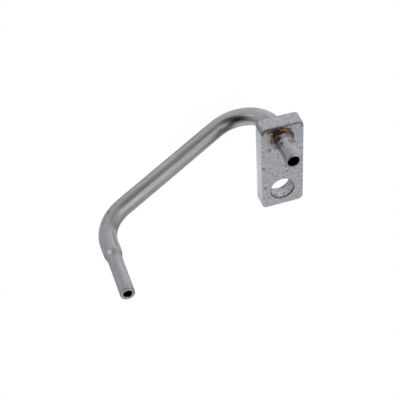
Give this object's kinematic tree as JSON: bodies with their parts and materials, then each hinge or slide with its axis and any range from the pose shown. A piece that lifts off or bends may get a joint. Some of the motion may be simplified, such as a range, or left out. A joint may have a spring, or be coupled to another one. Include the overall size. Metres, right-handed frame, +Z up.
{
  "type": "piston cooling nozzle",
  "caption": "Bent steel oil tube brazed through a rectangular mounting block with a bolt hole: a short inlet spigot on one side, and a long arm to a swaged jet outlet.",
  "frame": {"origin": "where the inlet spigot's axis crosses the block's mounting face", "axes": "+Z up along the spigot, out of the mounting face into the oil gallery and parallel to the jet; +Y along the block from the spigot to the bolt hole; +X across the block, to the side of the outlet arm"},
  "size_m": [0.0725, 0.035, 0.053],
  "materials": {
    "block_steel": "satin grey steel with just broken edges, fine matt mottle",
    "tube_steel": "drawn steel tube, satin, with lengthwise streaks",
    "braze_copper": "dull reddish copper braze, darkened"
  },
  "bodies": {
    "root": {"mounting_block": "block_steel", "tube": "tube_steel", "braze_joint": "braze_copper"}
  },
  "joints": []
}
